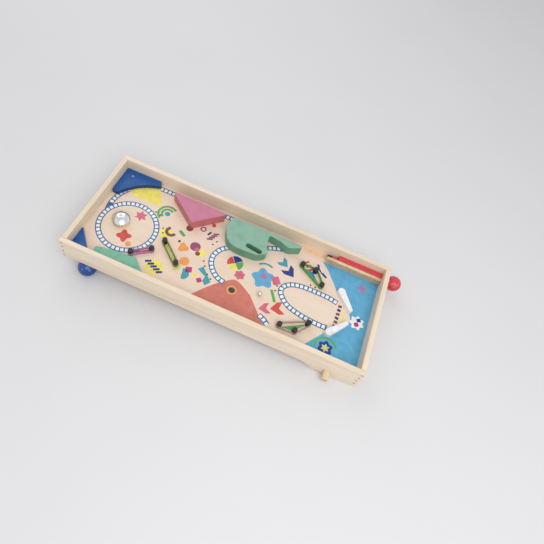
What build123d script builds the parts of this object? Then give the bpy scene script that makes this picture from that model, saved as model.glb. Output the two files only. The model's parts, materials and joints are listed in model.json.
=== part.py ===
"""Tabletop pinball game: a wooden tray on two ball feet, with a sprung plunger,
two push-button flippers, elastic bumpers, a bell and a steel ball.

Every piece is drawn with the tray lying flat: +Y points to the head end, +X to the
player's right, and Z = 0 is the top of the playfield. The finished pieces are then
turned together into the standing pose, with the head end raised on the feet.
"""

import os
from math import asin, atan2, cos, degrees, dist, hypot, pi, radians, sin, tan

from build123d import *

os.makedirs("parts", exist_ok=True)

# Tray
tray_length = 730
tray_width = 300
wall = 12
rim_height = 41
skirt_depth = 17
player_skirt_depth = 30.5
step_from_player = 105
step_run = 24
step_radius = 16
rim_round = 1.5
board_thickness = 6
groove_depth = 3
ball_hole_radius = 8.5

# Clearances
running_gap = 0.05
seat_gap = 0.3

# Corner dowels and battens
dowel_radius = 2.5
dowel_depth = 14
dowel_from_rim = 5
dowel_pitch = 16.5
dowels_per_corner = 4
batten_width = 20
batten_height = 11
head_batten_from_head = 53
middle_batten_y = 20
mechanism_batten_width = 6
mechanism_batten_from_player = 93.5
cover_thickness = 3
cover_recess = 0.3

# Ball feet
foot_radius = 22
foot_flat = 1.5
foot_from_head = 60
foot_dowel_radius = 4
foot_dowel_length = 26
foot_dowel_in_wall = 10

# Launch lane and plunger
lane_width = 15.5
divider_width = 8
divider_height = 18
divider_length = 144
housing_width = 14
housing_height = 20
housing_length = 115
housing_bore_radius = 5.7
housing_nose = 5
plunger_height = 9
rod_radius = 3.5
knob_radius = 19
knob_gap = 1.2
rod_in_knob = 22
rod_reach = 143
tip_length = 12
tip_socket_depth = 9
tip_core_radius = 2.25
tip_round = 2
collar_length = 3
collar_radius = 5.3

# Flippers and their push buttons
flipper_from_player = 83
flipper_spread = 116
flipper_length = 51
flipper_root_radius = 9
flipper_tip_radius = 5
flipper_height = 12.5
flipper_droop = 40
flipper_swing = 40
axle_radius = 4
axle_in_blade = 10
crank_radius = 26
crank_thickness = 5.7
crank_hub_radius = 7
crank_end_radius = 6.5
pin_radius = 2
pin_slot_gap = 0.35
button_width = 14
button_height = 12
button_reach = 21
button_drop = 10
button_round = 1.2
stop_width = 18
stop_height = 16
stop_thickness = 3
stem_size = 8
stem_past_pin = 5
guide_gap = 12
guide_thickness = 8
guide_width = 30

# Springs
plunger_wire = 1
plunger_coil_radius = 4.75
plunger_turns = 20
button_wire = 1
button_coil_radius = 6.8
button_turns = 6

# Blocks on the playfield
corner_block_height = 12
far_block_height = 28
block_round = 1.2
channel_width = 25.5
track_radius = 76
track_gap = 7
pink_middle = 135
pink_length = 152
pink_reach = 66
pink_apex = 130
pink_round = 3.5
green_round = 4
green_slot_length = 43
green_slot_width = 12.5
green_slot_angle = 82

# Bumpers
post_radius = 6
post_height = 17
post_foot = 2.5
post_waist_radius = 4.2
post_waist = 6
post_spigot_radius = 2
post_spigot = 4
post_round = 1.5
band_thickness = 2.4
band_height = 5

# Bell
bell_radius = 21.5
bell_height = 10
bell_wall = 1
bell_rim_height = 10
bell_base_radius = 22
bell_base_height = 8
bell_post_radius = 2.5
bell_collar_radius = 5
bell_nut_radius = 4
bell_nut_height = 4

# Screws
screw_radius = 1.75
screw_head_radius = 3.5
screw_head_depth = 1.8
block_screw_length = 14
cover_screw_length = 12

# The ball, and where it lies in the picture
ball_radius = 6
ball_place = (-49, -92)

# Places worked out from the sizes above
half_length = tray_length / 2
half_width = tray_width / 2
inside_x = half_width - wall
inside_y = half_length - wall
divider_x = inside_x - lane_width - divider_width / 2
lane_x = inside_x - lane_width / 2
channel_x = inside_x - channel_width
field_x = -(lane_width + divider_width) / 2
flipper_y = flipper_from_player - inside_y
button_y = flipper_y - crank_radius
button_travel = 2 * crank_radius * tan(radians(flipper_swing / 2))
button_z = -button_drop - button_height / 2
stem_z = -button_drop - button_height + stem_size / 2
cover_top = cover_recess + cover_thickness - player_skirt_depth
foot_x = half_width - wall / 2
foot_y = half_length - foot_from_head
foot_z = foot_flat - skirt_depth - foot_radius
knob_y = -half_length - knob_gap - knob_radius
bell_place = (field_x, inside_y - 64)
track_centre = (field_x - 8, inside_y - 86)
hole_place = (field_x - 54, -28)

# Standing pose: the feet and the player end's lower edge share one table plane
foot_run = foot_y + half_length
foot_drop = -player_skirt_depth - foot_z
tilt = asin(foot_radius / hypot(foot_run, foot_drop)) + atan2(foot_drop, foot_run)
lift = half_length * sin(tilt) + player_skirt_depth * cos(tilt)
far_end = half_length * cos(tilt) + skirt_depth * sin(tilt)
near_end = knob_y * cos(tilt) - plunger_height * sin(tilt) - knob_radius
standing = Location((0, -(far_end + near_end) / 2, lift), (degrees(tilt), 0, 0))


def finish(piece, label):
    """Stand a finished piece up, name it and write it."""
    placed = piece.moved(standing)
    placed.label = label
    export_step(placed, f"parts/{label}.step")


def block(outline, radius, label, holes, height):
    """A flat wooden block on the playfield, its corners and top edge rounded."""
    with BuildPart() as solid:
        with BuildSketch() as plan:
            add(outline)
            fillet(plan.vertices(), radius)
        extrude(amount=height)
        fillet(solid.faces().sort_by(Axis.Z)[-1].outer_wire().edges(), block_round)
        drill_from_below(holes)
    finish(solid.part, label)


def drill_from_below(places):
    """Pilot holes for the screws that come up through the playfield."""
    depth = block_screw_length - board_thickness
    for x, y in places:
        with Locations((x, y, 0)):
            Cylinder(
                screw_radius + running_gap,
                depth + seat_gap,
                align=(Align.CENTER, Align.CENTER, Align.MIN),
                mode=Mode.SUBTRACT,
            )


def outline_of(points):
    """A closed flat outline through straight-edged points."""
    with BuildSketch(mode=Mode.PRIVATE) as outline:
        with BuildLine():
            Polyline(*points, close=True)
        make_face()
    return outline.sketch


def screws_along(places, head_z, length):
    """Countersunk screws, heads down at head_z, pointing up."""
    with BuildPart(mode=Mode.PRIVATE) as screw:
        with BuildSketch(Plane.XZ):
            with BuildLine():
                Polyline(
                    (0, 0),
                    (screw_head_radius, 0),
                    (screw_radius, screw_head_depth),
                    (screw_radius, length - screw_radius),
                    (0, length),
                    close=True,
                )
            make_face()
        revolve(axis=Axis.Z)
    with BuildPart(mode=Mode.PRIVATE) as group:
        for x, y in places:
            with Locations((x, y, head_z)):
                add(screw.part)
    return group.part


def coil_route(radius, pitch, turns):
    """Points of a coil about Z as half turns, each a half circle in a leaning plane."""
    reach = hypot(radius, pitch / 4)
    route = []
    for half in range(2 * turns):
        side = 1 if half % 2 == 0 else -1
        start = (side * radius, 0, half * pitch / 2)
        middle = (0, side * reach, (half + 0.5) * pitch / 2)
        end = (-side * radius, 0, (half + 1) * pitch / 2)
        route.append((start, middle, end))
    return route


def coil_spring(plane, radius, wire, length, turns):
    """A compression spring that stands on a plane, as one unbroken round wire."""
    pitch = (length - wire) / turns
    with BuildPart(mode=Mode.PRIVATE) as spring:
        with BuildLine() as path:
            for start, middle, end in coil_route(radius, pitch, turns):
                ThreePointArc(start, middle, end)
        with BuildSketch(Plane(origin=path.line @ 0, z_dir=path.line % 0)):
            Circle(wire / 2)
        sweep()
    report_coil(path.wire(), spring.part.volume, wire, turns)
    return plane.location * Location((0, 0, wire / 2)) * spring.part


def report_coil(line, volume, wire, turns):
    """Print the least gap between turns, and the volume beside section times length."""
    steps = 24 * turns
    points = [tuple(line @ (step / steps)) for step in range(steps + 1)]
    apart = 18
    gaps = [
        dist(points[first], points[second])
        for first in range(len(points))
        for second in range(first + apart, len(points))
    ]
    expected = pi * (wire / 2) ** 2 * line.length
    print(f"coil: least gap {min(gaps) - wire:.2f} mm, volume {volume:.1f} of {expected:.1f}")


# Bumper groups: where the posts stand, from the end of the tray that they belong to
loop_posts = ((field_x - 74, inside_y - 130), (field_x - 44, inside_y - 169))
slant_posts = ((field_x - 9, inside_y - 186), (field_x - 53, inside_y - 236))
left_kicker_posts = (
    (35 - inside_x, 194 - inside_y),
    (68 - inside_x, 133 - inside_y),
    (36 - inside_x, 157 - inside_y),
)
right_kicker_posts = (
    (divider_x - 43, 193 - inside_y),
    (divider_x - 44, 158 - inside_y),
    (divider_x - 78, 133 - inside_y),
)
bumpers = {
    "loop": loop_posts,
    "slant": slant_posts,
    "left_kicker": left_kicker_posts,
    "right_kicker": right_kicker_posts,
}

# Screws that hold the blocks and the lane divider, as places on the playfield
far_corner_screws = ((inside_x - 20, inside_y - 24), (inside_x - 12, inside_y - 70))
near_corner_screws = ((20 - inside_x, inside_y - 16),)
loop_block_screws = ((13 - inside_x, inside_y - 72), (13 - inside_x, inside_y - 150))
pink_screws = tuple(
    (channel_x - pink_reach / 4, pink_middle + side * pink_length / 4) for side in (-1, 1)
)
green_screws = ((channel_x - 20, -5), (channel_x - 62, 12), (channel_x - 9, -118))
divider_screws = tuple((divider_x, place - inside_y) for place in (20, 72, 124))
board_screws = (
    far_corner_screws
    + near_corner_screws
    + loop_block_screws
    + pink_screws
    + green_screws
    + divider_screws
)
outer_pin_x = flipper_spread / 2 + button_travel / 2 - field_x
guide_x = outer_pin_x + crank_end_radius + guide_gap + guide_thickness / 2
button_spring_length = (
    inside_x - 3 * seat_gap - stop_thickness - guide_x - guide_thickness / 2
)
batten_y = mechanism_batten_from_player - inside_y
cover_screw_places = (
    (-guide_x, button_y + guide_width / 3),
    (guide_x, button_y + guide_width / 3),
    (-guide_x, batten_y),
    (guide_x, batten_y),
)
dowel_heights = tuple(
    rim_height - dowel_from_rim - place * dowel_pitch for place in range(dowels_per_corner)
)
dowel_y = half_length - wall / 2

# Side walls: deeper at the player end, grooved for the playfield
for side, label in ((-1, "left_side_wall"), (1, "right_side_wall")):
    with BuildPart() as side_wall:
        with BuildSketch(Plane.YZ.offset(side * half_width)) as profile:
            with BuildLine():
                Polyline(
                    (half_length, rim_height),
                    (-half_length, rim_height),
                    (-half_length, -player_skirt_depth),
                    (step_from_player - half_length, -player_skirt_depth),
                    (step_from_player + step_run - half_length, -skirt_depth),
                    (half_length, -skirt_depth),
                    close=True,
                )
            make_face()
            step_low = step_from_player - half_length
            step_high = step_low + step_run
            step_corners = profile.vertices().filter_by_position(
                Axis.X, step_low - 1, step_high + 1
            )
            fillet(step_corners, step_radius)
        extrude(amount=-side * wall)
        rim_edges = side_wall.edges().filter_by(Axis.Y).group_by(Axis.Z)[-1]
        fillet(rim_edges, rim_round)
        with Locations((side * inside_x, 0, -board_thickness / 2)):
            Box(
                2 * groove_depth,
                2 * (inside_y + groove_depth),
                board_thickness,
                mode=Mode.SUBTRACT,
            )
        with Locations((side * (half_width - wall / 2), button_y, button_z)):
            Box(
                2 * wall,
                button_width + 2 * seat_gap,
                button_height + 2 * seat_gap,
                mode=Mode.SUBTRACT,
            )
        with Locations(
            *[
                (side * half_width, end * dowel_y, height)
                for end in (-1, 1)
                for height in dowel_heights
            ]
        ):
            Cylinder(
                dowel_radius + running_gap,
                4 * wall,
                rotation=(0, 90, 0),
                mode=Mode.SUBTRACT,
            )
        with Locations((side * foot_x, foot_y, -skirt_depth)):
            Cylinder(
                foot_dowel_radius + running_gap,
                2 * (foot_dowel_in_wall + seat_gap),
                mode=Mode.SUBTRACT,
            )
    finish(side_wall.part, label)

# End walls, between the side walls; the player's has the plunger's bore
for end, label, depth in (
    (1, "head_wall", skirt_depth),
    (-1, "player_wall", player_skirt_depth),
):
    with BuildPart() as end_wall:
        with BuildSketch(Plane.XY.offset(-depth)):
            with Locations((0, end * (half_length - wall / 2))):
                Rectangle(2 * inside_x, wall)
        extrude(amount=rim_height + depth)
        rim_edges = end_wall.edges().filter_by(Axis.X).group_by(Axis.Z)[-1]
        fillet(rim_edges, rim_round)
        with Locations((0, end * inside_y, -board_thickness / 2)):
            Box(
                2 * inside_x,
                2 * groove_depth,
                board_thickness,
                mode=Mode.SUBTRACT,
            )
        with Locations(
            *[
                (side * (inside_x - dowel_depth), end * dowel_y, height)
                for side in (-1, 1)
                for height in dowel_heights
            ]
        ):
            Cylinder(
                dowel_radius + running_gap,
                2 * dowel_depth + 2 * seat_gap,
                rotation=(0, 90, 0),
                mode=Mode.SUBTRACT,
            )
        if end < 0:
            with Locations((lane_x, -half_length, plunger_height)):
                Cylinder(
                    rod_radius + running_gap,
                    4 * wall,
                    rotation=(90, 0, 0),
                    mode=Mode.SUBTRACT,
                )
    finish(end_wall.part, label)

# Playfield board, let into the grooves of all four walls
with BuildPart() as playfield_board:
    with BuildSketch(Plane.XY.offset(-board_thickness)):
        Rectangle(2 * (inside_x + groove_depth), 2 * (inside_y + groove_depth))
        with Locations(hole_place):
            Circle(ball_hole_radius, mode=Mode.SUBTRACT)
        with Locations(
            (field_x - flipper_spread / 2, flipper_y),
            (field_x + flipper_spread / 2, flipper_y),
        ):
            Circle(axle_radius + running_gap, mode=Mode.SUBTRACT)
        with Locations(bell_place):
            Circle(bell_post_radius + running_gap, mode=Mode.SUBTRACT)
    extrude(amount=board_thickness)
    for x, y in board_screws:
        with Locations(Plane((x, y, -board_thickness), z_dir=(0, 0, -1))):
            CounterSinkHole(
                screw_radius + running_gap,
                screw_head_radius + running_gap,
                depth=board_thickness,
            )
    for posts in bumpers.values():
        with Locations(*posts):
            Cylinder(
                post_spigot_radius + running_gap,
                2 * (post_spigot + seat_gap),
                mode=Mode.SUBTRACT,
            )
finish(playfield_board.part, "playfield_board")

# Dowels that pin the corners, flush with the side walls
with BuildPart() as corner_dowels:
    with Locations(
        *[
            (side * (half_width - (wall + dowel_depth) / 2), end * dowel_y, height)
            for side in (-1, 1)
            for end in (-1, 1)
            for height in dowel_heights
        ]
    ):
        Cylinder(dowel_radius, wall + dowel_depth, rotation=(0, 90, 0))
finish(corner_dowels.part, "corner_dowels")

# Battens under the playfield
for label, y in (
    ("head_batten", inside_y - head_batten_from_head),
    ("middle_batten", middle_batten_y),
):
    with BuildPart() as batten:
        with Locations((0, y, -board_thickness - batten_height / 2)):
            Box(2 * inside_x, batten_width, batten_height)
    finish(batten.part, label)

with BuildPart() as mechanism_batten:
    with BuildSketch(Plane.XY.offset(cover_top)):
        with Locations((0, batten_y)):
            Rectangle(2 * inside_x, mechanism_batten_width)
    extrude(amount=-board_thickness - cover_top)
    with Locations(*[(x, y, cover_top) for x, y in cover_screw_places[2:]]):
        Cylinder(
            screw_radius + running_gap,
            2 * (cover_screw_length - cover_thickness + seat_gap),
            mode=Mode.SUBTRACT,
        )
finish(mechanism_batten.part, "mechanism_batten")

# Thin bottom panel that closes the flipper mechanism
cover_front = batten_y + mechanism_batten_width / 2
with BuildPart() as mechanism_cover:
    with BuildSketch(Plane.XY.offset(cover_top - cover_thickness)):
        with Locations((0, (cover_front - inside_y) / 2)):
            Rectangle(2 * inside_x, cover_front + inside_y)
    extrude(amount=cover_thickness)
    for x, y in cover_screw_places:
        with Locations(Plane((x, y, cover_top - cover_thickness), z_dir=(0, 0, -1))):
            CounterSinkHole(
                screw_radius + running_gap,
                screw_head_radius + running_gap,
                depth=cover_thickness,
            )
finish(mechanism_cover.part, "mechanism_cover")

finish(
    screws_along(cover_screw_places, cover_top - cover_thickness, cover_screw_length),
    "cover_screws",
)
finish(screws_along(board_screws, -board_thickness, block_screw_length), "block_screws")

# Ball feet with a flat seat, each on a dowel
for side, label in ((-1, "left_foot_ball"), (1, "right_foot_ball")):
    with BuildPart() as foot_ball:
        with Locations((side * foot_x, foot_y, foot_z)):
            Sphere(foot_radius)
        split(bisect_by=Plane.XY.offset(-skirt_depth), keep=Keep.BOTTOM)
        dowel_in_foot = foot_dowel_length - foot_dowel_in_wall
        with Locations((side * foot_x, foot_y, -skirt_depth)):
            Cylinder(
                foot_dowel_radius + running_gap,
                2 * (dowel_in_foot + seat_gap),
                mode=Mode.SUBTRACT,
            )
    finish(foot_ball.part, label)

with BuildPart() as foot_dowels:
    with Locations(
        (-foot_x, foot_y, foot_dowel_in_wall - skirt_depth),
        (foot_x, foot_y, foot_dowel_in_wall - skirt_depth),
    ):
        Cylinder(
            foot_dowel_radius,
            foot_dowel_length,
            align=(Align.CENTER, Align.CENTER, Align.MAX),
        )
finish(foot_dowels.part, "foot_dowels")

# Strip that divides the launch lane from the field, its head end rounded
with BuildPart() as lane_divider:
    with BuildSketch() as plan:
        with Locations((divider_x, divider_length / 2 - inside_y)):
            Rectangle(divider_width, divider_length)
        fillet(plan.vertices().group_by(Axis.Y)[-1], divider_width / 2 - running_gap)
    extrude(amount=divider_height)
    drill_from_below(divider_screws)
finish(lane_divider.part, "lane_divider")

# Blocks. Far corner block: two sides on the walls and one hollow side
with BuildSketch(mode=Mode.PRIVATE) as far_corner_outline:
    with BuildLine():
        wall_end = (inside_x - seat_gap, inside_y - 96)
        hollow_start = (inside_x - 14, inside_y - 104)
        hollow_end = (inside_x - 84, inside_y - 17)
        head_end = (inside_x - 82, inside_y - seat_gap)
        corner = (inside_x - seat_gap, inside_y - seat_gap)
        Polyline(hollow_end, head_end, corner, wall_end, hollow_start)
        ThreePointArc(hollow_start, (inside_x - 42, inside_y - 50), hollow_end)
    make_face()
block(
    far_corner_outline.sketch,
    3,
    "far_corner_block",
    far_corner_screws,
    corner_block_height,
)

# Near corner block: a plain triangle in the corner
block(
    outline_of(
        (
            (seat_gap - inside_x, inside_y - seat_gap),
            (63 - inside_x, inside_y - seat_gap),
            (seat_gap - inside_x, inside_y - 52),
        )
    ),
    2,
    "near_corner_block",
    near_corner_screws,
    corner_block_height,
)

# Loop block: against the near wall, hollowed to follow the printed loop
with BuildSketch(mode=Mode.PRIVATE) as loop_outline:
    with BuildLine():
        head_tip = (seat_gap - inside_x, inside_y - 57)
        player_tip = (seat_gap - inside_x, inside_y - 194)
        inner_head = (29 - inside_x, inside_y - 54)
        inner_player = (42 - inside_x, inside_y - 150)
        hollow = track_centre[0] - track_radius - track_gap
        Polyline(inner_player, player_tip, head_tip, inner_head)
        ThreePointArc(inner_head, (hollow, track_centre[1]), inner_player)
    make_face()
block(loop_outline.sketch, 2, "loop_block", loop_block_screws, corner_block_height)

# Pink block: a triangle beside the far channel
block(
    outline_of(
        (
            (channel_x, pink_middle + pink_length / 2),
            (channel_x, pink_middle - pink_length / 2),
            (channel_x - pink_reach, pink_apex),
        )
    ),
    pink_round,
    "pink_block",
    pink_screws,
    far_block_height,
)

# Green block: a broad lobe and a tail beside the far channel, with a slot through it
with BuildPart() as green_block:
    with BuildSketch() as plan:
        with BuildLine():
            lobe_start = (channel_x - 27, 48)
            lobe_end = (channel_x - 54, -68)
            Spline(
                lobe_start,
                (channel_x - 53, 42),
                (channel_x - 73, 28),
                (channel_x - 81, 3),
                (channel_x - 80, -30),
                (channel_x - 76, -52),
                (channel_x - 67, -65),
                lobe_end,
                tangents=((-27, 5), (19, 7)),
            )
            Polyline(
                lobe_end,
                (channel_x - 40, -61),
                (channel_x - 9, -57),
                (channel_x - 13, -88),
                (channel_x - 21, -110),
                (channel_x - 19, -119),
                (channel_x - 5, -145),
                (channel_x, -139),
                (channel_x, 43),
                lobe_start,
            )
        make_face()
        corners = plan.vertices().filter_by_position(Axis.X, channel_x - 50, channel_x + 1)
        fillet(corners.filter_by_position(Axis.Y, -150, 45), green_round)
        with Locations((channel_x - 64.5, -35.5)):
            SlotOverall(
                green_slot_length,
                green_slot_width,
                rotation=green_slot_angle,
                mode=Mode.SUBTRACT,
            )
    extrude(amount=far_block_height)
    fillet(green_block.faces().sort_by(Axis.Z)[-1].edges(), block_round)
    drill_from_below(green_screws)
finish(green_block.part, "green_block")

# Bumpers: posts with a waist, and an elastic band round each group
for group, posts in bumpers.items():
    with BuildPart(mode=Mode.PRIVATE) as post:
        with BuildSketch(Plane.XZ):
            with BuildLine():
                waist_top = post_foot + post_waist
                Polyline(
                    (0, -post_spigot),
                    (post_spigot_radius, -post_spigot),
                    (post_spigot_radius, 0),
                    (post_radius, 0),
                    (post_radius, post_foot),
                    (post_waist_radius, post_foot),
                    (post_waist_radius, waist_top),
                    (post_radius, waist_top),
                    (post_radius, post_height),
                    (0, post_height),
                    close=True,
                )
            make_face()
        revolve(axis=Axis.Z)
        fillet(post.edges().filter_by(GeomType.CIRCLE).sort_by(Axis.Z)[-1], post_round)
    with BuildPart() as post_group:
        with Locations(*posts):
            add(post.part)
    finish(post_group.part, f"{group}_posts")

    with BuildPart() as band:
        with BuildSketch(Plane.XY.offset(post_foot + (post_waist - band_height) / 2)):
            with Locations(*posts):
                Circle(post_waist_radius + seat_gap + band_thickness)
            make_hull()
            offset(amount=-band_thickness, mode=Mode.SUBTRACT)
        extrude(amount=band_height)
    finish(band.part, f"{group}_band")

# Bell: a turned base, a stepped post, a thin dome and an acorn nut
with BuildPart() as bell_base:
    with BuildSketch():
        with Locations(bell_place):
            Circle(bell_base_radius)
            Circle(bell_post_radius + running_gap, mode=Mode.SUBTRACT)
    extrude(amount=bell_base_height)
    fillet(bell_base.faces().sort_by(Axis.Z)[-1].outer_wire().edges(), block_round)
finish(bell_base.part, "bell_base")

dome_radius = (bell_radius**2 + bell_height**2) / (2 * bell_height)
dome_centre = bell_rim_height + bell_height - dome_radius
with BuildPart() as bell_dome:
    with Locations((*bell_place, dome_centre)):
        Sphere(dome_radius)
        Sphere(dome_radius - bell_wall, mode=Mode.SUBTRACT)
    split(bisect_by=Plane.XY.offset(bell_rim_height), keep=Keep.TOP)
    with Locations((*bell_place, dome_centre + dome_radius)):
        Cylinder(bell_post_radius + running_gap, 4 * bell_wall, mode=Mode.SUBTRACT)
finish(bell_dome.part, "bell_dome")

collar_drop = dome_radius - bell_wall - running_gap
collar_top = dome_centre + (collar_drop**2 - bell_collar_radius**2) ** 0.5
bell_top = bell_rim_height + bell_height + running_gap
with BuildPart() as bell_post:
    with Locations((*bell_place, -board_thickness)):
        Cylinder(
            bell_post_radius,
            board_thickness + bell_top + bell_nut_height / 2,
            align=(Align.CENTER, Align.CENTER, Align.MIN),
        )
    with Locations((*bell_place, bell_base_height)):
        Cylinder(
            bell_collar_radius,
            collar_top - bell_base_height,
            align=(Align.CENTER, Align.CENTER, Align.MIN),
        )
finish(bell_post.part, "bell_post")

with BuildPart() as bell_nut:
    with BuildSketch(Plane((*bell_place, bell_top))):
        RegularPolygon(bell_nut_radius, 6)
    extrude(amount=bell_nut_height / 2)
    with Locations((*bell_place, bell_top + bell_nut_height / 2)):
        Sphere(
            bell_nut_radius * 0.8,
            arc_size1=0,
            align=(Align.CENTER, Align.CENTER, Align.MIN),
        )
    with Locations((*bell_place, bell_top)):
        Cylinder(
            bell_post_radius + running_gap,
            bell_nut_height + 2 * seat_gap,
            mode=Mode.SUBTRACT,
        )
finish(bell_nut.part, "bell_nut")

# Plunger housing: a bored block that fills the player end of the lane
bore_end = housing_length - housing_nose - inside_y
with BuildPart() as plunger_housing:
    with BuildSketch(Plane((lane_x, -inside_y, 0), x_dir=(1, 0, 0), z_dir=(0, -1, 0))):
        with Locations((0, housing_height / 2)):
            RectangleRounded(housing_width, housing_height, block_round)
    extrude(amount=-housing_length)
    with Locations((lane_x, bore_end, plunger_height)):
        Cylinder(
            housing_bore_radius,
            housing_length - housing_nose,
            rotation=(-90, 0, 0),
            align=(Align.CENTER, Align.CENTER, Align.MAX),
            mode=Mode.SUBTRACT,
        )
        Cylinder(
            rod_radius + running_gap,
            4 * housing_nose,
            rotation=(90, 0, 0),
            mode=Mode.SUBTRACT,
        )
finish(plunger_housing.part, "plunger_housing")

# Plunger rod, with a turned-down end inside the rubber tip
lane_axis = Plane((lane_x, knob_y, plunger_height), x_dir=(1, 0, 0), z_dir=(0, 1, 0))
rod_start = -(rod_in_knob - knob_radius)
rod_front = rod_reach - inside_y - knob_y
with BuildPart() as plunger_rod:
    with BuildSketch(lane_axis.offset(rod_start)):
        Circle(rod_radius)
    extrude(amount=rod_front - tip_length - rod_start)
    with BuildSketch(lane_axis.offset(rod_front - tip_length)):
        Circle(tip_core_radius)
    extrude(amount=tip_socket_depth - seat_gap)
finish(plunger_rod.part, "plunger_rod")

with BuildPart() as plunger_tip:
    with BuildSketch(lane_axis.offset(rod_front - tip_length)):
        Circle(rod_radius)
    extrude(amount=tip_length)
    fillet(plunger_tip.edges().filter_by(GeomType.CIRCLE).sort_by(Axis.Y)[-1], tip_round)
    with BuildSketch(lane_axis.offset(rod_front - tip_length)):
        Circle(tip_core_radius + running_gap)
    extrude(amount=tip_socket_depth, mode=Mode.SUBTRACT)
finish(plunger_tip.part, "plunger_tip")

with BuildPart() as plunger_knob:
    with Locations((lane_x, knob_y, plunger_height)):
        Sphere(knob_radius)
    with BuildSketch(lane_axis.offset(rod_start - seat_gap)):
        Circle(rod_radius + running_gap)
    extrude(amount=2 * knob_radius, mode=Mode.SUBTRACT)
finish(plunger_knob.part, "plunger_knob")

collar_front = bore_end - seat_gap
with BuildPart() as plunger_collar:
    with BuildSketch(lane_axis.offset(collar_front - knob_y)):
        Circle(collar_radius)
        Circle(rod_radius + running_gap, mode=Mode.SUBTRACT)
    extrude(amount=-collar_length)
finish(plunger_collar.part, "plunger_collar")

spring_start = seat_gap - inside_y
plunger_spring = coil_spring(
    Plane((lane_x, spring_start, plunger_height), x_dir=(1, 0, 0), z_dir=(0, 1, 0)),
    plunger_coil_radius,
    plunger_wire,
    collar_front - collar_length - seat_gap - spring_start,
    plunger_turns,
)
finish(plunger_spring, "plunger_spring")

# Push buttons, flippers and what lies between them, once for each hand
for side, hand in ((-1, "left"), (1, "right")):
    pivot_x = field_x + side * flipper_spread / 2
    pin_x = pivot_x + side * button_travel / 2
    stop_face = inside_x - seat_gap
    stem_inner = side * pin_x - stem_past_pin

    with BuildPart() as push_rod:
        with BuildSketch(Plane((side * stop_face, button_y, button_z), z_dir=(side, 0, 0))):
            RectangleRounded(button_height, button_width, button_round)
        extrude(amount=half_width + button_reach - stop_face)
        fillet(push_rod.faces().sort_by(Axis.X)[-1 if side > 0 else 0].edges(), block_round)
        with Locations((side * (stop_face - stop_thickness / 2), button_y, button_z)):
            Box(stop_thickness, stop_width, stop_height)
        stem_length = stop_face - stop_thickness - stem_inner
        with Locations((side * (stem_inner + stem_length / 2), button_y, stem_z)):
            Box(stem_length, stem_size, stem_size)
        with Locations((pin_x, button_y, stem_z)):
            Cylinder(pin_radius + running_gap, 2 * stem_size, mode=Mode.SUBTRACT)
    finish(push_rod.part, f"{hand}_push_rod")

    crank_bottom = -board_thickness - seat_gap - crank_thickness
    with BuildPart() as push_pin:
        with Locations((pin_x, button_y, stem_z - stem_size / 2)):
            Cylinder(
                pin_radius,
                -board_thickness - 2 * seat_gap - stem_z + stem_size / 2,
                align=(Align.CENTER, Align.CENTER, Align.MIN),
            )
    finish(push_pin.part, f"{hand}_push_pin")

    with BuildPart() as push_guide:
        with BuildSketch(Plane.XY.offset(cover_top)):
            with Locations((side * guide_x, button_y)):
                Rectangle(guide_thickness, guide_width)
        extrude(amount=-board_thickness - cover_top)
        with Locations((side * guide_x, button_y, stem_z)):
            Box(
                2 * guide_thickness,
                stem_size + 2 * seat_gap,
                stem_size + 2 * seat_gap,
                mode=Mode.SUBTRACT,
            )
        with Locations((side * guide_x, button_y + guide_width / 3, cover_top)):
            Cylinder(
                screw_radius + running_gap,
                2 * (cover_screw_length - cover_thickness + seat_gap),
                mode=Mode.SUBTRACT,
            )
    finish(push_guide.part, f"{hand}_push_guide")

    spring_seat = side * (stop_face - stop_thickness - seat_gap)
    return_spring = coil_spring(
        Plane((spring_seat, button_y, stem_z), x_dir=(0, 1, 0), z_dir=(-side, 0, 0)),
        button_coil_radius,
        button_wire,
        button_spring_length,
        button_turns,
    )
    finish(return_spring, f"{hand}_return_spring")

    blade_angle = -90 - side * (90 - flipper_droop)
    blade_direction = (cos(radians(blade_angle)), sin(radians(blade_angle)), 0)
    blade_plane = Plane((pivot_x, flipper_y, seat_gap), x_dir=blade_direction)
    with BuildPart() as flipper_blade:
        with BuildSketch(blade_plane):
            Circle(flipper_root_radius)
            with Locations((flipper_length, 0)):
                Circle(flipper_tip_radius)
            make_hull()
        extrude(amount=flipper_height)
        fillet(flipper_blade.faces().sort_by(Axis.Z)[-1].edges(), block_round)
        with Locations((pivot_x, flipper_y, seat_gap)):
            Cylinder(
                axle_radius + running_gap,
                2 * axle_in_blade,
                mode=Mode.SUBTRACT,
            )
    finish(flipper_blade.part, f"{hand}_flipper_blade")

    with BuildPart() as flipper_axle:
        with Locations((pivot_x, flipper_y, crank_bottom)):
            Cylinder(
                axle_radius,
                axle_in_blade - crank_bottom,
                align=(Align.CENTER, Align.CENTER, Align.MIN),
            )
    finish(flipper_axle.part, f"{hand}_flipper_axle")

    crank_direction = (pin_x - pivot_x, button_y - flipper_y, 0)
    pin_distance = hypot(pin_x - pivot_x, button_y - flipper_y)
    slot_middle = (crank_radius + pin_distance) / 2
    slot_reach = pin_distance - crank_radius + 2 * (pin_radius + pin_slot_gap)
    with BuildPart() as flipper_crank:
        with BuildSketch(Plane((pivot_x, flipper_y, crank_bottom), x_dir=crank_direction)):
            Circle(crank_hub_radius)
            with Locations((slot_middle, 0)):
                Circle(crank_end_radius)
            make_hull()
            Circle(axle_radius + running_gap, mode=Mode.SUBTRACT)
            with Locations((slot_middle, 0)):
                SlotOverall(
                    slot_reach + pin_slot_gap,
                    2 * (pin_radius + pin_slot_gap),
                    mode=Mode.SUBTRACT,
                )
        extrude(amount=crank_thickness)
    finish(flipper_crank.part, f"{hand}_flipper_crank")

# The ball, resting on the playfield
with BuildPart() as steel_ball:
    with Locations((*ball_place, ball_radius + seat_gap / 2)):
        Sphere(ball_radius)
finish(steel_ball.part, "steel_ball")

print(f"tilt {degrees(tilt):.3f} degrees, button travel {button_travel:.3f} mm")
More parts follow.
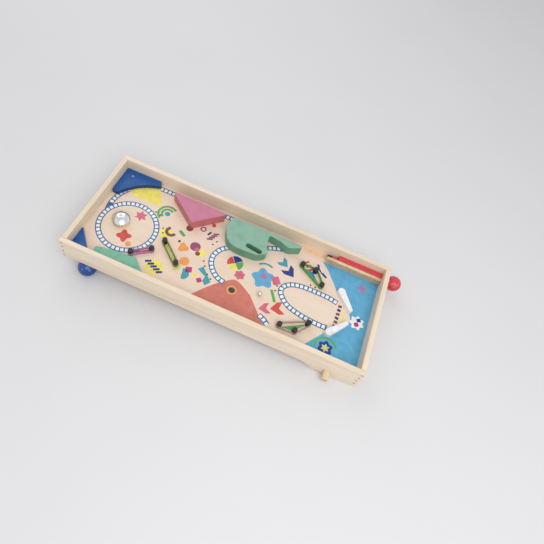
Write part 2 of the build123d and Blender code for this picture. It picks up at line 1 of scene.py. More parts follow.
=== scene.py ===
"""Looks for the tabletop pinball game: finishes for its CAD pieces, own meshes for its
springs, the prints on its playfield, a small pin, a pale floor, lights and the camera.

Places on the playfield are in millimetres on the board, +Y towards the head end and
+X to the player's right; the frame's flipper joint says where the board lies.
"""

import json
import math

import bmesh
import bpy
from mathutils import Matrix, Vector
from mathutils.geometry import tessellate_polygon


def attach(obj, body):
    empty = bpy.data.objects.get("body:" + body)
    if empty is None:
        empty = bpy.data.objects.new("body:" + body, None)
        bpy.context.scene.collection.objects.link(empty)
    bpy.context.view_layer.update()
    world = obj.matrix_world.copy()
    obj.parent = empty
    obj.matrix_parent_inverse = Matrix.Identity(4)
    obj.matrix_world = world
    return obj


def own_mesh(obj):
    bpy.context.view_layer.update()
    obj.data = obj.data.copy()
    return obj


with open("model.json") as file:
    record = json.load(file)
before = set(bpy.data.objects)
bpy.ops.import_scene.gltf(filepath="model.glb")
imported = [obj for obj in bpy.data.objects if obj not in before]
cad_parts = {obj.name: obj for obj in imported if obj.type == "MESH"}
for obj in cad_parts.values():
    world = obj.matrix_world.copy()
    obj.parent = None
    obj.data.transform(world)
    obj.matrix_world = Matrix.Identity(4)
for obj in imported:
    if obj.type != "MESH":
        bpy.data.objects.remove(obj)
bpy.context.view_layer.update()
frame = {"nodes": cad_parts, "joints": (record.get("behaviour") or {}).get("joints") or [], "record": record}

MM = 0.001

# Camera at the photograph's angle, its turn in degrees
CAMERA_PLACE = (-0.6115, -0.1161, 1.0120)
CAMERA_TURN = (33.9134, -7.2757, -68.3486)
CAMERA_LENS = 31.56
CAMERA_SHIFT = (0.057, -0.0368)
CAMERA_CLIP = (0.01, 100)

# Light and floor. A lamp has its place in metres, its size and its power
WORLD_LIGHT = 0.62
BACKGROUND = (238, 238, 240)
KEY_LIGHT = (-1.15, -0.75, 1.75, 1.5, 22)
FILL_LIGHT = (1.3, 1.0, 1.5, 2.0, 9)
FLOOR_RADIUS = 24
FLOOR_TONES = ((226, 226, 228), (222, 222, 224))

# Ink heights over the board, below the ball's clearance
INK_SINK = 0.04
AREA_INK = 0.03
TRACK_INK = 0.05
DETAIL_INK = 0.07

# Printed track, and how far the cells of other tracks keep from the ring's middle line
TRACK_WIDTH = 14
CELL_PITCH = 11
CELL_LENGTH = 7.6
CELL_WIDTH = 8.4
LOOP_CENTRE = (-19.4, 267.4)
LOOP_RADIUS = 69.5
LOOP_CLEARANCE = 0.85 * TRACK_WIDTH

# Where the CAD pieces stand on the board
FLIPPER_PIVOT = (-69.75, -270)
HOLE_CENTRE = (-65.75, -28)
HOLE_RADIUS = 8.5
BELL_CENTRE = (-11.75, 289)
INSIDE_X = 138
INSIDE_Y = 353
DIVIDER_X = 114.3

# The inks' edge at the ball hole, the ring round it and the pin in the far corner block
HOLE_INK_RADIUS = HOLE_RADIUS + 0.6
HOLE_RING_RADIUS = 12.5
PIN_CENTRE = (118, 328)


def joint(name):
    """A joint of the frame by its name."""
    return next(entry for entry in frame["joints"] if entry["name"] == name)


def board_to_row():
    """The matrix that takes board places in millimetres to the row frame in metres."""
    swing = joint("left_flipper_swing")
    normal = Vector(swing["axis"])
    turn = Matrix.Rotation(math.atan2(-normal.y, normal.z), 4, "X")
    pivot_on_board = Vector((*FLIPPER_PIVOT, 0)) * MM
    place = Matrix.Translation(Vector(swing["pos_m"])) @ turn
    return place @ Matrix.Translation(-pivot_on_board) @ Matrix.Scale(MM, 4)


BOARD = board_to_row()


def linear(colour):
    """A 0 to 255 display colour as the shader's linear RGBA."""
    parts = []
    for value in colour:
        share = value / 255
        low = share / 12.92
        high = ((share + 0.055) / 1.055) ** 2.4
        parts.append(low if share <= 0.04045 else high)
    return (*parts, 1.0)


def darker_tone(tone, share):
    """A colour held back to a share of itself."""
    return tuple(value * share for value in tone)


def paler_tone(tone, share, towards=255):
    """A colour taken a share of the way towards a pale grey or white."""
    return tuple(value + (towards - value) * share for value in tone)


class Finish:
    """A node material round one Principled shader, with short calls for its nodes."""

    def __init__(self, name, specular=0.5, metallic=0.0, roughness=0.5):
        self.material = bpy.data.materials.new(name)
        self.material.use_nodes = True
        self.tree = self.material.node_tree
        self.shader = self.tree.nodes["Principled BSDF"]
        self.shader.inputs["Specular IOR Level"].default_value = specular
        self.shader.inputs["Metallic"].default_value = metallic
        self.shader.inputs["Roughness"].default_value = roughness
        self.place = self.tree.nodes.new("ShaderNodeTexCoord").outputs["Object"]
        self.normal = self.tree.nodes.new("ShaderNodeNewGeometry").outputs["Normal"]

    def put(self, socket, value):
        """Links an output to a socket, or sets a constant on it."""
        if isinstance(value, bpy.types.NodeSocket):
            self.tree.links.new(value, socket)
        else:
            socket.default_value = value

    def moved(self, scale=(1, 1, 1), location=(0, 0, 0)):
        """The object's coordinates, shifted and then scaled."""
        shift = self.tree.nodes.new("ShaderNodeVectorMath")
        shift.operation = "SUBTRACT"
        self.put(shift.inputs[0], self.place)
        self.put(shift.inputs[1], location)
        stretch = self.tree.nodes.new("ShaderNodeVectorMath")
        stretch.operation = "MULTIPLY"
        self.put(stretch.inputs[0], shift.outputs[0])
        self.put(stretch.inputs[1], scale)
        return stretch.outputs[0]

    def noise(self, scale, detail=4.0, stretch=(1, 1, 1), twist=0.0):
        """Noise over the surface, as a value from 0 to 1."""
        node = self.tree.nodes.new("ShaderNodeTexNoise")
        self.put(node.inputs["Vector"], self.moved(stretch))
        self.put(node.inputs["Scale"], scale)
        self.put(node.inputs["Detail"], detail)
        self.put(node.inputs["Distortion"], twist)
        return node.outputs["Fac"]

    def grain(self, axis, across, along, detail, twist=0.0):
        """Noise drawn out into fibres along X, Y or Z."""
        stretch = tuple(along if name == axis else across for name in "XYZ")
        return self.noise(1.0, detail, stretch, twist)

    def spread(self, value, low, high, to_low=0.0, to_high=1.0):
        """A value's stretch from low to high, mapped to another stretch and held there."""
        node = self.tree.nodes.new("ShaderNodeMapRange")
        self.put(node.inputs["Value"], value)
        limits = ("From Min", "From Max", "To Min", "To Max")
        for socket, limit in zip(limits, (low, high, to_low, to_high)):
            self.put(node.inputs[socket], limit)
        return node.outputs["Result"]

    def maths(self, operation, first, second=0.0):
        """One step of arithmetic."""
        node = self.tree.nodes.new("ShaderNodeMath")
        node.operation = operation
        self.put(node.inputs[0], first)
        self.put(node.inputs[1], second)
        return node.outputs[0]

    def mix(self, share, first, second):
        """A colour between two colours, each an output or a display colour."""
        node = self.tree.nodes.new("ShaderNodeMix")
        node.data_type = "RGBA"
        self.put(node.inputs["Factor"], share)
        for socket, value in ((6, first), (7, second)):
            if not isinstance(value, bpy.types.NodeSocket):
                value = linear(value)
            self.put(node.inputs[socket], value)
        return node.outputs[2]

    def facing(self, axis):
        """How far the surface faces along X, Y or Z, from -1 to 1."""
        node = self.tree.nodes.new("ShaderNodeSeparateXYZ")
        self.put(node.inputs[0], self.normal)
        return node.outputs[axis]

    def bump(self, height, distance, strength):
        """Raises the surface by a height value, at most by a distance in metres."""
        node = self.tree.nodes.new("ShaderNodeBump")
        self.put(node.inputs["Height"], height)
        self.put(node.inputs["Distance"], distance)
        self.put(node.inputs["Strength"], strength)
        self.put(self.shader.inputs["Normal"], node.outputs["Normal"])

    def colour(self, value):
        """Gives the shader its colour."""
        self.put(self.shader.inputs["Base Color"], value)

    def roughness(self, value):
        """Gives the shader its roughness."""
        self.put(self.shader.inputs["Roughness"], value)


def wood_finish(name, pale, deep, axis, gloss=0.46):
    """Clear-coated wood: growth figure, fibres, short flecks and darker end grain."""
    finish = Finish(name, specular=0.35)
    fibre = finish.grain(axis, across=620, along=14, detail=6.0)
    figure = finish.grain(axis, across=46, along=2.2, detail=3.0, twist=0.8)
    flecks = finish.grain(axis, across=900, along=130, detail=2.0)
    tone = finish.mix(finish.spread(figure, 0.36, 0.66), pale, deep)
    darker = darker_tone(deep, 0.86)
    tone = finish.mix(finish.spread(fibre, 0.5, 0.78, 0, 0.5), tone, darker)
    fleck_colour = darker_tone(deep, 0.7)
    tone = finish.mix(finish.spread(flecks, 0.68, 0.76, 0, 0.45), tone, fleck_colour)
    end = finish.maths("ABSOLUTE", finish.facing(axis))
    end_share = finish.spread(end, 0.8, 0.97, 0, 0.55)
    end_colour = finish.mix(finish.noise(300, 5.0), darker, fleck_colour)
    finish.colour(finish.mix(end_share, tone, end_colour))
    finish.roughness(finish.spread(fibre, 0.3, 0.7, gloss - 0.06, gloss + 0.1))
    finish.bump(fibre, distance=0.00012, strength=0.5)
    return finish.material


def paint_finish(name, top, shaded_side, gloss=0.4):
    """Paint on wood: a darker copy of the paint on its sides as painted shade, faint grain, brush mottling,
    rubbed edges.
    """
    finish = Finish(name, specular=0.45)
    mottle = finish.noise(55, 4.0, twist=0.3)
    fibre = finish.grain("Y", across=520, along=24, detail=5.0)
    up = finish.facing("Z")
    # Painted shade: faces turned away from straight up take the darker side colour, and the tops keep the
    # paint's own colour
    tone = finish.mix(finish.spread(up, 0.25, 0.8), shaded_side, top)
    deeper = darker_tone(shaded_side, 0.88)
    tone = finish.mix(finish.spread(mottle, 0.45, 0.8, 0, 0.35), tone, deeper)
    tone = finish.mix(finish.spread(fibre, 0.55, 0.8, 0, 0.22), tone, deeper)
    on_edge = finish.maths(
        "MULTIPLY", finish.spread(up, 0.3, 0.55), finish.spread(up, 0.9, 0.7)
    )
    rubbed = finish.maths("MULTIPLY", on_edge, finish.spread(finish.noise(240), 0.5, 0.62))
    lighter = paler_tone(top, 0.45)
    finish.colour(finish.mix(finish.maths("MULTIPLY", rubbed, 0.55), tone, lighter))
    finish.roughness(finish.spread(mottle, 0.3, 0.7, gloss - 0.07, gloss + 0.1))
    finish.bump(fibre, distance=0.0001, strength=0.4)
    return finish.material


def metal_finish(name, bright, dull, low, high, rings_at=None):
    """Metal with fine marks, or with turning rings round an axis through a place."""
    finish = Finish(name, metallic=1.0)
    stains = finish.noise(120, 5.0)
    finish.colour(finish.mix(finish.spread(stains, 0.35, 0.7), bright, dull))
    if rings_at is None:
        marks = finish.noise(1.0, 3.0, (2600, 160, 900))
    else:
        rings = finish.tree.nodes.new("ShaderNodeTexWave")
        rings.wave_type = "RINGS"
        rings.rings_direction = "Z"
        finish.put(rings.inputs["Vector"], finish.moved(location=rings_at))
        finish.put(rings.inputs["Scale"], 420)
        finish.put(rings.inputs["Distortion"], 0.4)
        marks = rings.outputs["Fac"]
    finish.roughness(finish.spread(stains, 0.3, 0.75, low, high))
    finish.bump(marks, distance=0.00002, strength=0.35)
    return finish.material


def rubber_finish(name, tone, gloss=0.62):
    """Elastic or rubber: a dull skin with fine ribs and dust."""
    finish = Finish(name, specular=0.3)
    dust = finish.noise(170, 5.0)
    ribs = finish.noise(1.0, 2.0, (500, 500, 2600))
    pale = paler_tone(tone, 0.18)
    deep = darker_tone(tone, 0.84)
    body = finish.mix(finish.spread(ribs, 0.4, 0.65), deep, tone)
    finish.colour(finish.mix(finish.spread(dust, 0.52, 0.75, 0, 0.5), body, pale))
    finish.roughness(finish.spread(dust, 0.3, 0.7, gloss - 0.08, gloss + 0.12))
    finish.bump(ribs, distance=0.00008, strength=0.5)
    return finish.material


def plastic_finish(name, tone, gloss=0.3):
    """Moulded plastic: slight flow marks, scuffs and a fine orange peel."""
    finish = Finish(name, specular=0.5)
    flow = finish.noise(38, 3.0, twist=1.1)
    scuffs = finish.noise(1.0, 3.0, (1500, 240, 600))
    deep = darker_tone(tone, 0.93)
    dirt = darker_tone(tone, 0.82)
    body = finish.mix(finish.spread(flow, 0.38, 0.66), tone, deep)
    finish.colour(finish.mix(finish.spread(scuffs, 0.68, 0.8, 0, 0.5), body, dirt))
    finish.roughness(finish.spread(scuffs, 0.35, 0.75, gloss - 0.05, gloss + 0.15))
    finish.bump(finish.noise(900, 2.0), distance=0.00003, strength=0.4)
    return finish.material


def board_finish(name):
    """The printed plywood: a cream face with grain showing, plain plies elsewhere."""
    finish = Finish(name, specular=0.35)
    fibre = finish.grain("Y", across=560, along=12, detail=6.0)
    figure = finish.grain("Y", across=30, along=1.8, detail=3.0, twist=1.0)
    blush = finish.noise(9, 2.0)
    face = finish.mix(finish.spread(blush, 0.38, 0.62), (234, 216, 196), (237, 212, 196))
    face = finish.mix(finish.spread(figure, 0.4, 0.68, 0, 0.55), face, (224, 202, 174))
    face = finish.mix(finish.spread(fibre, 0.55, 0.8, 0, 0.4), face, (205, 176, 140))
    back = finish.mix(finish.spread(figure, 0.35, 0.65), (222, 192, 152), (196, 160, 116))
    back = finish.mix(finish.spread(fibre, 0.5, 0.75, 0, 0.5), back, (168, 132, 92))
    finish.colour(finish.mix(finish.spread(finish.facing("Z"), 0.0, 0.5), back, face))
    finish.roughness(finish.spread(fibre, 0.3, 0.7, 0.4, 0.54))
    finish.bump(fibre, distance=0.00008, strength=0.4)
    return finish.material


def ink_finish(name, tone):
    """Printed ink on the board: fine mottle, grain showing through, rubbed spots."""
    finish = Finish(name, specular=0.4)
    fibre = finish.grain("Y", across=560, along=12, detail=6.0)
    mottle = finish.noise(80, 3.0)
    wear = finish.noise(34, 6.0)
    deep = darker_tone(tone, 0.93)
    pale = paler_tone(tone, 0.16, towards=245)
    body = finish.mix(finish.spread(mottle, 0.35, 0.68), tone, deep)
    body = finish.mix(finish.spread(fibre, 0.55, 0.8, 0, 0.35), body, deep)
    finish.colour(finish.mix(finish.spread(wear, 0.62, 0.74, 0, 0.5), body, pale))
    finish.roughness(finish.spread(mottle, 0.3, 0.7, 0.36, 0.5))
    finish.bump(fibre, distance=0.00006, strength=0.35)
    return finish.material


BIRCH = ((240, 224, 204), (230, 210, 184))
bell_place = BOARD @ Vector((*BELL_CENTRE, 0))

side_wood = wood_finish("side_wall_wood", *BIRCH, "Y")
end_wood = wood_finish("end_wall_wood", *BIRCH, "X")
FINISHES = {
    "wall_wood": side_wood,
    "frame_wood": wood_finish("frame_wood", (232, 208, 174), (216, 186, 146), "X"),
    "dowel_wood": wood_finish("dowel_wood", (212, 178, 134), (190, 150, 104), "X", 0.5),
    "printed_board": board_finish("printed_board"),
    "cover_board": wood_finish("cover_board", (206, 178, 140), (184, 152, 112), "Y", 0.6),
    "screw_steel": metal_finish("screw_steel", (208, 208, 212), (160, 158, 156), 0.28, 0.5),
    # Each paint below takes its top colour and then a darker copy of it, which is painted shade for the
    # sides
    "blue_paint": paint_finish("blue_paint", (24, 74, 150), (18, 62, 138), gloss=0.28),
    "navy_paint": paint_finish("navy_paint", (20, 84, 156), (14, 54, 112)),
    "sea_green_paint": paint_finish("sea_green_paint", (120, 182, 156), (88, 148, 122)),
    "pink_paint": paint_finish("pink_paint", (199, 121, 150), (196, 110, 112)),
    "green_paint": paint_finish("green_paint", (136, 178, 158), (104, 152, 122)),
    "bell_metal": metal_finish(
        "bell_metal", (232, 233, 238), (204, 206, 212), 0.08, 0.2, bell_place
    ),
    "spring_steel": metal_finish("spring_steel", (206, 208, 212), (166, 166, 168), 0.2, 0.4),
    "black_pegs": plastic_finish("black_pegs", (44, 38, 38), 0.5),
    "lilac_band": rubber_finish("lilac_band", (188, 138, 176)),
    "olive_band": rubber_finish("olive_band", (132, 142, 52)),
    "rose_band": rubber_finish("rose_band", (186, 158, 148)),
    "leaf_band": rubber_finish("leaf_band", (88, 160, 62)),
    "red_paint": paint_finish("red_paint", (214, 68, 76), (196, 58, 68), gloss=0.32),
    "black_rubber": rubber_finish("black_rubber", (38, 32, 34)),
    "white_plastic": plastic_finish("white_plastic", (240, 240, 242)),
    "crank_plastic": plastic_finish("crank_plastic", (206, 206, 204), 0.45),
    "ball_steel": metal_finish("ball_steel", (226, 226, 230), (196, 196, 200), 0.05, 0.14),
}


def dress_cad_nodes():
    """Gives every CAD node the finish of its material slot."""
    for part in frame["record"]["subparts"]:
        node = frame["nodes"][part["node"]]
        finish = FINISHES[part["material_slot"]]
        if part["node"] in ("head_wall", "player_wall"):
            finish = end_wood
        if not node.data.materials:
            node.data.materials.append(finish)
        for slot in node.material_slots:
            slot.material = finish


dress_cad_nodes()


def close_springs():
    """Gives each coil spring's node its own copy of its mesh."""
    for entry in frame["record"]["behaviour"]["joints"]:
        for spring in entry.get("deforming_nodes", ()):
            node = frame["nodes"][spring["node"]]
            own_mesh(node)


close_springs()


def add_object(name, data):
    """Puts a new object in the scene."""
    added = bpy.data.objects.new(name, data)
    bpy.context.scene.collection.objects.link(added)
    return added


def add_mesh(name, mesh, finish):
    """Puts a bmesh in the scene as an object of one material."""
    data = bpy.data.meshes.new(name)
    mesh.to_mesh(data)
    mesh.free()
    data.materials.append(finish)
    return add_object(name, data)


def mesh_piece(name, mesh, finish, body="tray", smooth=False):
    """Makes an object of a bmesh in board millimetres, and sets it on a CAD body."""
    bmesh.ops.transform(mesh, matrix=BOARD, verts=mesh.verts)
    bmesh.ops.recalc_face_normals(mesh, faces=mesh.faces)
    for face in mesh.faces:
        face.smooth = smooth
    piece = add_mesh(name, mesh, finish)
    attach(piece, body)


def polar(centre, radius, angle):
    """A place at a distance and an angle in degrees from a centre."""
    turn = math.radians(angle)
    return (centre[0] + radius * math.cos(turn), centre[1] + radius * math.sin(turn))


def arc(centre, radius, start, stop, step=6):
    """Places along an arc from one angle to another."""
    count = max(2, math.ceil(abs(stop - start) / step))
    return [
        polar(centre, radius, start + (stop - start) * index / count)
        for index in range(count + 1)
    ]


def disc(centre, radius):
    """A round outline."""
    return arc(centre, radius, 0, 360, 12)[:-1]


def star(centre, outer, inner, points, turn=0):
    """A star's outline."""
    step = 180 / points
    return [
        polar(centre, outer if index % 2 == 0 else inner, turn + index * step)
        for index in range(2 * points)
    ]


def flower(centre, radius, petals, depth, turn=0):
    """A round outline with soft petals, their depth a share of the radius."""
    return [
        polar(
            centre,
            radius * (1 + depth * math.cos(math.radians(petals * (angle - turn)))),
            angle,
        )
        for angle in range(0, 360, 6)
    ]


def slab(centre, length, width, turn):
    """A rectangle's outline, its length along the turned X."""
    corners = ((-1, -1), (1, -1), (1, 1), (-1, 1))
    cosine, sine = math.cos(math.radians(turn)), math.sin(math.radians(turn))
    outline = []
    for right, up in corners:
        x, y = right * length / 2, up * width / 2
        outline.append((centre[0] + x * cosine - y * sine, centre[1] + x * sine + y * cosine))
    return outline


def chevron(centre, size, turn):
    """An arrow-like chevron that points along the turned X."""
    shape = ((0.5, 0), (-0.1, 0.48), (-0.5, 0.48), (-0.16, 0), (-0.5, -0.48), (-0.1, -0.48))
    cosine, sine = math.cos(math.radians(turn)), math.sin(math.radians(turn))
    return [
        (
            centre[0] + size * (x * cosine - y * sine),
            centre[1] + size * (x * sine + y * cosine),
        )
        for x, y in shape
    ]


def smooth_line(points, steps=6):
    """A smooth route through given places."""
    padded = [points[0], *points, points[-1]]
    route = []
    for index in range(1, len(padded) - 2):
        before, start, stop, after = padded[index - 1 : index + 3]
        for step in range(steps):
            t = step / steps
            route.append(
                tuple(
                    0.5
                    * (
                        2 * b
                        + (c - a) * t
                        + (2 * a - 5 * b + 4 * c - d) * t * t
                        + (3 * b - a - 3 * c + d) * t**3
                    )
                    for a, b, c, d in zip(before, start, stop, after)
                )
            )
    route.append(points[-1])
    return route


def offset_line(route, distance):
    """The route moved sideways to its left."""
    moved = []
    for index, (x, y) in enumerate(route):
        before = route[max(index - 1, 0)]
        after = route[min(index + 1, len(route) - 1)]
        run, rise = after[0] - before[0], after[1] - before[1]
        length = math.hypot(run, rise)
        moved.append((x - rise / length * distance, y + run / length * distance))
    return moved


def ribbon(route, width):
    """The outline of a band of even width along a route."""
    return offset_line(route, width / 2) + offset_line(route, -width / 2)[::-1]


def stations(route, pitch):
    """Evenly spaced places along a route with their directions in degrees."""
    found = []
    wanted = pitch / 2
    walked = 0
    for start, stop in zip(route, route[1:]):
        length = math.dist(start, stop)
        heading = math.degrees(math.atan2(stop[1] - start[1], stop[0] - start[0]))
        while wanted <= walked + length:
            share = (wanted - walked) / length
            place = tuple(a + (b - a) * share for a, b in zip(start, stop))
            found.append((place, heading))
            wanted += pitch
        walked += length
    return found


prints = {}


def ink(tone, level, outline, *holes):
    """Adds an outline, with any holes in it, to the prints of one colour."""
    prints.setdefault((tone, level), []).append((outline, holes))


def track(route, level=TRACK_INK):
    """A printed ladder track: a blue band with white cells, none of them on the ring."""
    ink("rail_blue", level, ribbon(route, TRACK_WIDTH))
    for place, heading in stations(route, CELL_PITCH):
        if abs(math.dist(place, LOOP_CENTRE) - LOOP_RADIUS) > LOOP_CLEARANCE:
            ink("white", DETAIL_INK, slab(place, CELL_LENGTH, CELL_WIDTH, heading))


def closed_track(centre, radius):
    """A ring of printed ladder track."""
    half = TRACK_WIDTH / 2
    outer = arc(centre, radius + half, 0, 360, 4)[:-1]
    inner = arc(centre, radius - half, 0, 360, 4)[:-1]
    ink("rail_blue", TRACK_INK, outer, inner)
    count = round(2 * math.pi * radius / CELL_PITCH)
    for index in range(count):
        angle = 360 * index / count
        cell = slab(polar(centre, radius, angle), CELL_LENGTH, CELL_WIDTH, angle + 90)
        ink("white", DETAIL_INK, cell)


def printed_areas():
    """The large flat areas of colour."""
    ink(
        "sky",
        AREA_INK,
        [
            (DIVIDER_X, -203),
            (96, -224),
            (46, -262),
            (4, -303),
            (-12, -311),
            (-28, -303),
            (-70, -262),
            (-INSIDE_X, -213),
            (-INSIDE_X, -INSIDE_Y),
            (DIVIDER_X, -INSIDE_Y),
        ],
    )
    bend = smooth_line([(-112, 48), (-76, 20), (-50, -6), (-37, -30), (-59, -72)])
    wedge = [(-INSIDE_X, 66), *bend, (-106, -116), (-INSIDE_X, -146)]
    hole = disc(HOLE_CENTRE, HOLE_INK_RADIUS)
    ink("salmon", AREA_INK, wedge, hole)
    ink("orange", TRACK_INK, disc(HOLE_CENTRE, HOLE_RING_RADIUS), hole)
    slope = [(82, 316), (96, 306), (110, 290), (120, 272), (126, 252)]
    ink("yellow", DETAIL_INK, smooth_line(slope) + [(80, 226), (73, 226), (71, 304)])
    ink("peach", AREA_INK, [(122.6, -150), (137.6, -144), (137.6, -206), (122.6, -206)])


def printed_tracks():
    """The ladder tracks."""
    closed_track(LOOP_CENTRE, LOOP_RADIUS)
    branch = [(2, 335), (24, 338), (50, 335), (76, 324), (98, 306), (114, 282), (123, 256)]
    channel = [(125.2, 226), (125.2, 120), (125.2, 20), (125.2, -98)]
    track(smooth_line(branch + channel, 8), AREA_INK)
    hook = [(111, -126), (99, -98), (88, -70), (75, -48), (60, -18), (46, 14), (37, 27)]
    hook += [(22, 41), (0, 48), (-21, 44), (-40, 30), (-52, 12), (-55, -4)]
    track(smooth_line(hook))
    loop = [(17, -270), (21, -248), (22, -222), (20, -176), (10, -147), (-8, -134), (-27, -141)]
    track(smooth_line(loop + [(-45, -164), (-55, -203), (-58, -240), (-57, -264)]))
    track(smooth_line([(-97, -108), (-103, -122), (-112, -134)]))


def printed_signs():
    """Chevrons, stripes and the patches under the bumpers."""
    ink("teal", TRACK_INK, chevron((62, -117), 27, -118))
    ink("navy", TRACK_INK, chevron((44, -138), 32, -124))
    ink("rose", TRACK_INK, chevron((-76, -114), 28, 118))
    ink("red", TRACK_INK, chevron((-63, -141), 33, 118))
    ink("leaf", TRACK_INK, ribbon(smooth_line([(-22, -113), (-34, -121), (-50, -131)]), 7))
    ink("lime", AREA_INK, slab((-42.8, 142), 62, 9, 48))
    ink("lime", AREA_INK, slab((-67, 112), 16, 20, 48))
    ink("rose", AREA_INK, slab((-71, 203), 52, 10, -52))
    ink("leaf", AREA_INK, [(-103, -163), (-70, -218), (-100, -194)])
    ink("blue", AREA_INK, [(73, -162), (72, -190), (42, -216)])
    ink("leaf", TRACK_INK, ribbon([(77, -159), (39, -223)], 5))
    for step in range(3):
        ink("red", TRACK_INK, slab((92 - 8 * step, -168 - 8 * step), 5, 15, 44))
    ink("navy", TRACK_INK, ribbon(smooth_line([(100, -196), (84, -208), (72, -226)]), 6))
    ink("white", DETAIL_INK, ribbon(smooth_line([(94, -203), (82, -213)]), 2.5))


def printed_motifs():
    """Plain shapes strewn over the field."""
    wheel = (6, -8)
    for index, tone in enumerate(("red", "yellow", "leaf", "navy")):
        start = 40 + 90 * index
        ink(tone, TRACK_INK, [wheel, *arc(wheel, 20, start + 3, start + 87)])
    ink("sky", TRACK_INK, flower((-2, -84), 25, 5, 0.16, 20))
    ink("violet", DETAIL_INK, disc((4, -84), 9))
    ink("rose", DETAIL_INK, slab((6, -115), 22, 19, 36))
    ink("teal", TRACK_INK, ribbon(arc((14, -82), 26, -30, 50), 5))
    ink("rose", TRACK_INK, flower((-20, -30), 12, 6, 0.12))
    ink("rose", TRACK_INK, star((23, 254), 17, 9, 6, 10))
    ink("red", TRACK_INK, flower((-48, 262), 15, 4, 0.24, 20))
    ink("orange", TRACK_INK, disc((-64, 242), 7))
    ink("teal", TRACK_INK, disc((60, 200), 7))
    for radius in (14, 23):
        ink("leaf", TRACK_INK, ribbon(arc((60, 200), radius, -40, 150), 6))
    ink("yellow", AREA_INK, star((6, 178), 21, 12, 7))
    ink("brown", TRACK_INK, ribbon(arc((16, 168), 11, 30, 260), 8))
    ink("leaf", TRACK_INK, slab((24, 142), 20, 8, 60))
    ink("black", TRACK_INK, disc((0, 138), 3.4))
    ink("orange", TRACK_INK, flower((-12, 122), 12, 3, 0.2, 30))
    ink("plum", TRACK_INK, disc((4, 97), 13))
    ink("rose", DETAIL_INK, disc((-2, 90), 6))
    ink("orange", TRACK_INK, disc((-46, 103), 12))
    ink("yellow", TRACK_INK, star((-6, 75), 16, 8, 5, 12))
    ink("brown", DETAIL_INK, disc((-12, 84), 6))
    ink("plum", TRACK_INK, disc((61, 101), 8), disc((61, 101), 4.5))
    ink("red", TRACK_INK, disc((84, 82), 5.5))
    for index in range(4):
        ink("plum", TRACK_INK, slab((62 - 7 * index, 66 + 3 * index), 5, 15, 22))
    ink("black", TRACK_INK, slab((56, 82), 13, 5, -24))
    ink("yellow", AREA_INK, star((-93, 158), 27, 17, 11))
    for index in range(5):
        ink("navy", TRACK_INK, slab((-84 - 4 * index, 178 - 9 * index), 6, 15, 28))
    ink("teal", TRACK_INK, [(-90, 92), *arc((-78, 92), 15, 190, 380)])
    ink("magenta", TRACK_INK, slab((-62, 84), 15, 15, 20))
    ink("yellow", TRACK_INK, slab((-70, 66), 10, 10, 20))
    ink("magenta", DETAIL_INK, slab((-77, 51), 12, 12, 40))
    ink("teal", TRACK_INK, [(-50, 66), (-38, 56), (-70, 24), (-84, 34), (-74, 44), (-62, 42)])
    ink("brown", TRACK_INK, disc((47, 132), 9))
    ink("navy", TRACK_INK, flower((-106, -274), 16, 6, 0.14))
    ink("lime", DETAIL_INK, star((-106, -274), 11, 6, 6))
    ink("leaf", TRACK_INK, ribbon(arc((-106, -274), 25, -70, 110), 5))
    ink("violet", TRACK_INK, star((84, -318), 15, 7, 8))
    ink("white", TRACK_INK, flower((-12, -327), 16, 7, 0.16))
    ink("magenta", DETAIL_INK, disc((-17, -327), 6))
    ink("navy", DETAIL_INK, slab((-4, -330), 9, 10, 30))


def printed_dots():
    """Rows of small dots beside the tracks and between the flippers."""
    pairs = (
        ((52, 228), (48, 214)),
        ((16, 190), (3, 184)),
        ((30, 62), (42, 56)),
        ((-24, 62), (-36, 54)),
        ((-54, 40), (-62, 28)),
        ((-6, -122), (-20, -122)),
        ((34, -196), (34, -208)),
    )
    for pair in pairs:
        for place in pair:
            ink("black", DETAIL_INK, disc(place, 2.2))
    for index in range(6):
        tone = ("navy", "brown")[index % 2]
        ink(tone, DETAIL_INK, slab((-44 + 11 * index, -279), 7, 9, 20 * (index % 2) - 10))
    for index in range(3):
        ink("yellow", DETAIL_INK, disc((-26 + 12 * index, -292), 4))


INKS = {
    "rail_blue": (62, 116, 158),
    "white": (246, 247, 248),
    "sky": (98, 174, 212),
    "salmon": (208, 122, 106),
    "orange": (240, 158, 84),
    "yellow": (244, 230, 108),
    "peach": (248, 205, 165),
    "teal": (72, 158, 172),
    "navy": (34, 62, 138),
    "blue": (62, 142, 202),
    "rose": (214, 108, 128),
    "red": (214, 80, 74),
    "leaf": (98, 170, 92),
    "lime": (212, 220, 142),
    "violet": (170, 132, 182),
    "plum": (150, 78, 112),
    "magenta": (192, 62, 122),
    "brown": (132, 76, 58),
    "black": (46, 42, 46),
}


def add_shape(mesh, outline, holes, level):
    """Adds one flat closed shape, from under the board's face to its ink height."""
    loops = [[Vector((x, y, 0)) for x, y in loop] for loop in (outline, *holes)]
    flat = [place for loop in loops for place in loop]
    below = [mesh.verts.new((place.x, place.y, -INK_SINK)) for place in flat]
    above = [mesh.verts.new((place.x, place.y, level)) for place in flat]
    for corners in tessellate_polygon(loops):
        mesh.faces.new([above[index] for index in corners])
        mesh.faces.new([below[index] for index in reversed(corners)])
    first = 0
    for loop in loops:
        count = len(loop)
        for index in range(count):
            here, there = first + index, first + (index + 1) % count
            mesh.faces.new((below[here], below[there], above[there], above[here]))
        first += count


def make_prints():
    """Builds the prints, one piece for each ink and height."""
    printed_areas()
    printed_tracks()
    printed_signs()
    printed_motifs()
    printed_dots()
    finishes = {tone: ink_finish(f"ink_{tone}", colour) for tone, colour in INKS.items()}
    names = {AREA_INK: "area", TRACK_INK: "shape", DETAIL_INK: "detail"}
    for (tone, level), shapes in prints.items():
        mesh = bmesh.new()
        for outline, holes in shapes:
            add_shape(mesh, outline, holes, level)
        mesh_piece(f"print_{tone}_{names[level]}", mesh, finishes[tone])


make_prints()


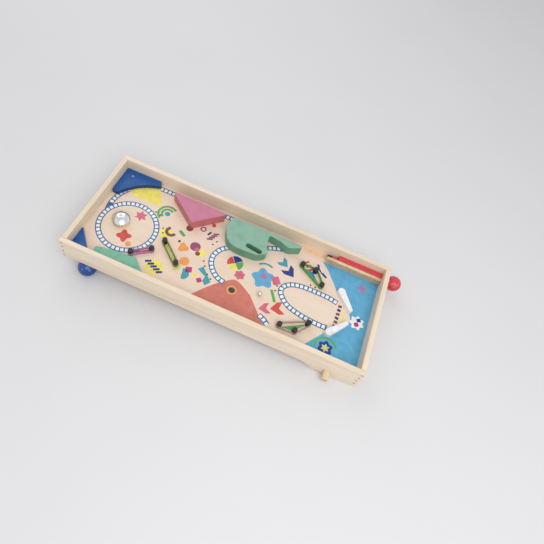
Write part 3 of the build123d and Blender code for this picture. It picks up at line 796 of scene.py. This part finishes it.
def turned(profile, centre, steps=32):
    """A bmesh of a profile of radius and height turned about an upright axis."""
    mesh = bmesh.new()
    rings = []
    for radius, height in profile:
        if radius == 0:
            rings.append([mesh.verts.new((*centre, height))])
            continue
        places = arc(centre, radius, 0, 360, 360 / steps)[:-1]
        rings.append([mesh.verts.new((*place, height)) for place in places])
    for lower, upper in zip(rings, rings[1:]):
        for index in range(steps):
            corners = [
                lower[index % len(lower)],
                lower[(index + 1) % len(lower)],
                upper[(index + 1) % len(upper)],
                upper[index % len(upper)],
            ]
            unique = list(dict.fromkeys(corners))
            if len(unique) > 2:
                mesh.faces.new(unique)
    return mesh


def make_corner_pin():
    """A domed pin in the far corner block."""
    profile = [(0, 10), (1.4, 10), (1.4, 12), (3.2, 12), (3.0, 12.7), (1.8, 13.2), (0, 13.4)]
    pin = turned(profile, PIN_CENTRE)
    mesh_piece("corner_pin", pin, FINISHES["screw_steel"], smooth=True)


make_corner_pin()


def make_stage():
    """A wide pale floor."""
    finish = Finish("floor_finish", specular=0.1, roughness=0.9)
    finish.colour(finish.mix(finish.noise(3, 2.0), *FLOOR_TONES))
    mesh = bmesh.new()
    bmesh.ops.create_circle(mesh, cap_ends=True, segments=64, radius=FLOOR_RADIUS)
    floor = add_mesh("floor", mesh, finish.material)


def make_world():
    """Even white light, with a pale backdrop for the camera and for reflections."""
    world = bpy.data.worlds.new("studio")
    bpy.context.scene.world = world
    world.use_nodes = True
    tree = world.node_tree
    light = tree.nodes["Background"]
    light.inputs["Color"].default_value = (1, 1, 1, 1)
    light.inputs["Strength"].default_value = WORLD_LIGHT
    backdrop = tree.nodes.new("ShaderNodeBackground")
    backdrop.inputs["Color"].default_value = linear(BACKGROUND)
    path = tree.nodes.new("ShaderNodeLightPath")
    seen = path.outputs["Is Camera Ray"]
    for kind in ("Is Glossy Ray", "Is Transmission Ray"):
        step = tree.nodes.new("ShaderNodeMath")
        step.operation = "MAXIMUM"
        tree.links.new(seen, step.inputs[0])
        tree.links.new(path.outputs[kind], step.inputs[1])
        seen = step.outputs[0]
    choose = tree.nodes.new("ShaderNodeMixShader")
    tree.links.new(seen, choose.inputs[0])
    tree.links.new(light.outputs[0], choose.inputs[1])
    tree.links.new(backdrop.outputs[0], choose.inputs[2])
    tree.links.new(choose.outputs[0], tree.nodes["World Output"].inputs["Surface"])


def make_lamp(name, x, y, z, size, power):
    """A soft square lamp that faces the object."""
    data = bpy.data.lights.new(name, "AREA")
    data.size = size
    data.energy = power
    lamp = add_object(name, data)
    lamp.location = (x, y, z)
    lamp.rotation_euler = (-Vector((x, y, z))).to_track_quat("-Z", "Y").to_euler()


def make_camera():
    """The camera at the photograph's viewing angle."""
    data = bpy.data.cameras.new("camera")
    data.lens = CAMERA_LENS
    data.shift_x, data.shift_y = CAMERA_SHIFT
    data.clip_start, data.clip_end = CAMERA_CLIP
    camera = add_object("camera", data)
    camera.location = CAMERA_PLACE
    camera.rotation_euler = [math.radians(turn) for turn in CAMERA_TURN]
    bpy.context.scene.camera = camera


make_stage()
make_world()
make_lamp("key_lamp", *KEY_LIGHT)
make_lamp("fill_lamp", *FILL_LIGHT)
make_camera()
bpy.context.scene.view_settings.view_transform = "Standard"
